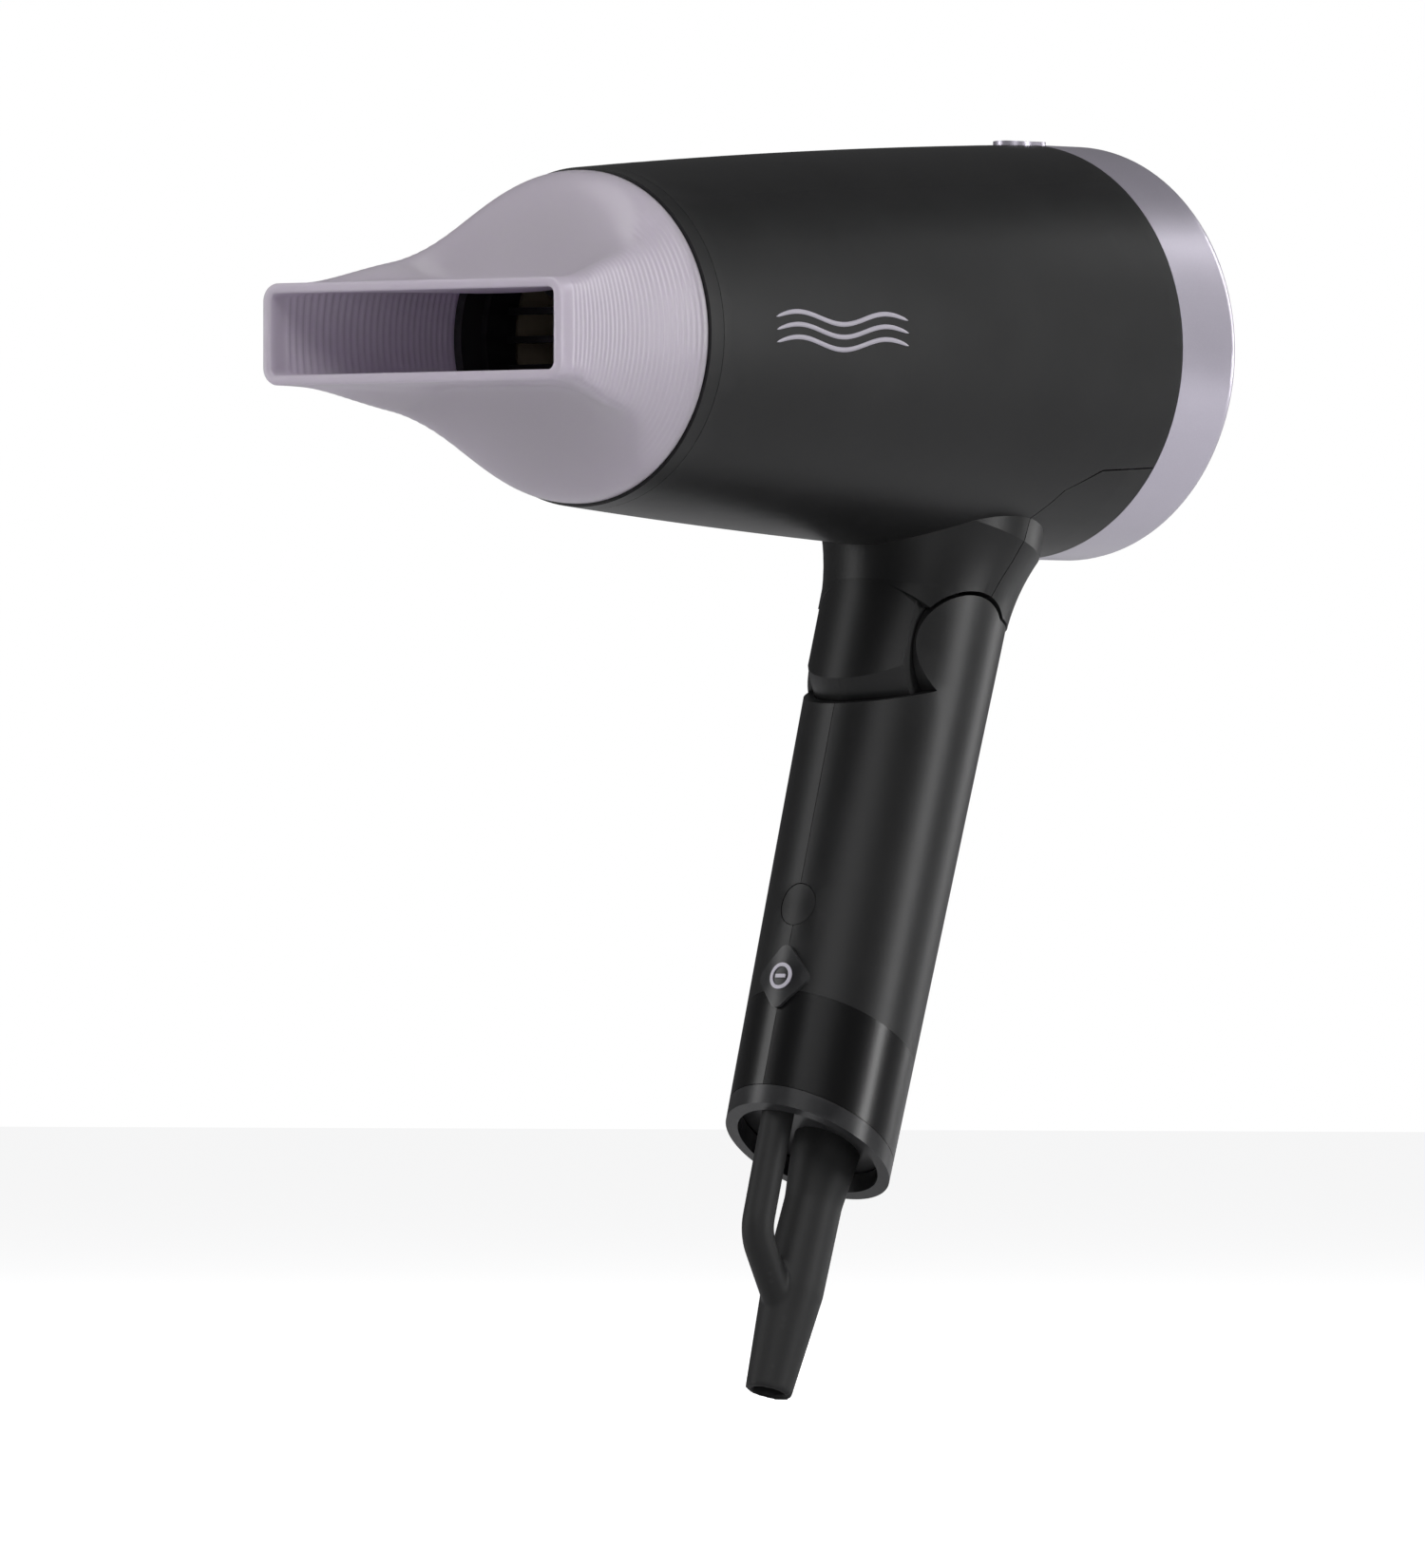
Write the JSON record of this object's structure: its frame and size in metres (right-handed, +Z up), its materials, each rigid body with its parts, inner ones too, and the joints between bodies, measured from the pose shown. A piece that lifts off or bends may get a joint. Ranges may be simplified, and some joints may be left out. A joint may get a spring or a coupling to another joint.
{
  "type": "travel hair dryer",
  "caption": "Compact folding hair dryer with a tapered barrel, detachable flat-slot nozzle, hinged handle, rear intake cap, thumb controls and a hanging loop at the cord relief.",
  "frame": {"origin": "centre of the rear face, on the barrel axis", "axes": "+X out of the rear face along the barrel axis, nozzle towards -X, +Z up, handle towards -Z, -Y the left-hand side"},
  "size_m": [0.1988, 0.08, 0.2419],
  "materials": {
    "black_satin": "satin",
    "black_gloss": "gloss",
    "lilac_satin": "satin",
    "lilac_clear": "frosted",
    "grey_plastic": "matte",
    "rubber_black": "matte",
    "steel": "satin",
    "bronze": "satin",
    "magnet": "matte",
    "mica": "matte",
    "heating_wire": "satin",
    "board_green": "satin",
    "filter_mesh": "matte",
    "badge_grey": "satin"
  },
  "bodies": {
    "handle": {"handle_left_shell": "black_satin", "handle_right_shell": "black_satin", "handle_end_ring": "black_gloss", "handle_end_plate": "black_gloss", "strain_relief_loop": "rubber_black", "cord_clamp": "grey_plastic", "cord_clamp_screws": "steel", "badge_plate": "black_gloss", "badge_emblem": "badge_grey", "screw_plug": "black_satin", "front_screw": "steel", "inner_chassis": "grey_plastic", "switch_panel": "black_gloss", "slide_switch_body": "grey_plastic", "cool_switch_body": "grey_plastic", "cool_button_spring": "steel", "control_board": "board_green", "capacitor": "bronze", "rectifier_diodes": "black_gloss", "hinge_pin": "steel"},
    "head": {"barrel_sleeve": "black_satin", "neck_rear_cover": "black_satin", "front_rim_ring": "black_satin", "outlet_grille": "black_satin", "rear_cap": "lilac_satin", "intake_grille": "black_satin", "dust_filter": "filter_mesh", "top_tab": "lilac_satin", "fan_duct": "grey_plastic", "motor_can": "steel", "motor_end_bell": "grey_plastic", "motor_bushes": "bronze", "motor_magnets": "magnet", "motor_board": "board_green", "heater_frame": "mica", "heater_coils": "heating_wire", "mica_sleeve": "mica", "thermostat": "steel", "thermal_fuse": "steel", "hinge_bush": "bronze"},
    "rotor": {"fan_impeller": "grey_plastic", "motor_shaft": "steel", "motor_armature": "bronze"},
    "nozzle_clip": {"nozzle_clip_ring": "black_satin"},
    "nozzle": {"nozzle": "lilac_clear"},
    "slider": {"speed_slider_knob": "lilac_satin"},
    "cool_button": {"cool_shot_button": "lilac_satin"}
  },
  "joints": [
    {"name": "head_fold", "type": "hinge", "parent": "handle", "child": "head", "pos_m": [-0.05443, 0, -0.05884], "axis": [0, -1, 0], "range_deg": [0, 73]},
    {"name": "rotor_spin", "type": "hinge", "parent": "head", "child": "rotor", "pos_m": [0, 0, 0], "axis": [-1, 0, 0], "continuous": true},
    {"name": "nozzle_pull", "type": "slide", "parent": "head", "child": "nozzle_clip", "axis": [-1, 0, 0], "range_m": [0, 0.03]},
    {"name": "nozzle_turn", "type": "hinge", "parent": "nozzle_clip", "child": "nozzle", "pos_m": [-0.15, 0, 0], "axis": [-1, 0, 0], "continuous": true},
    {"name": "speed_slide", "type": "slide", "parent": "handle", "child": "slider", "axis": [-0.2957, 0, -0.9553], "range_m": [0, 0.008]},
    {"name": "cool_press", "type": "slide", "parent": "handle", "child": "cool_button", "axis": [-0.9553, 0, 0.2957], "range_m": [0, 0.0015], "stiffness_N_per_m": 600, "springref_m": -0.0015}
  ]
}
